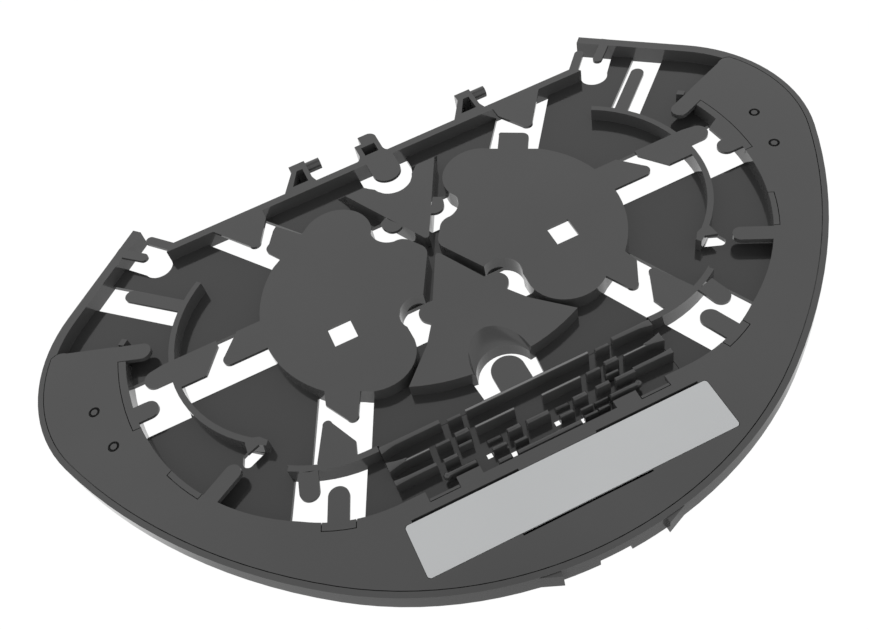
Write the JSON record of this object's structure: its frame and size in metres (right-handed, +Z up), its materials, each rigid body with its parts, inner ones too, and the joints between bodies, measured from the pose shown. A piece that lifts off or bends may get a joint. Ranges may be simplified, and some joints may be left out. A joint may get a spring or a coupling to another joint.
{
  "type": "fibre splice tray",
  "caption": "Shallow D-shaped tray with two fibre winding hubs, retaining fingers, a snap-in splice holder, a crescent cover and hinge stubs on its straight back edge.",
  "frame": {"origin": "on the underside, in the middle of the part's length and width", "axes": "+X along the straight back edge, +Y towards the hinge side, +Z up out of the tray"},
  "size_m": [0.2098, 0.1422, 0.005],
  "materials": {
    "tray": "glossy dark grey moulded plastic",
    "cover": "glossy dark grey moulded plastic",
    "splice_holder": "glossy dark grey moulded plastic",
    "label_plate": "smooth light grey plastic"
  },
  "bodies": {
    "root": {"tray": "tray", "cover": "cover", "splice_holder": "splice_holder", "label_plate": "label_plate"}
  },
  "joints": []
}
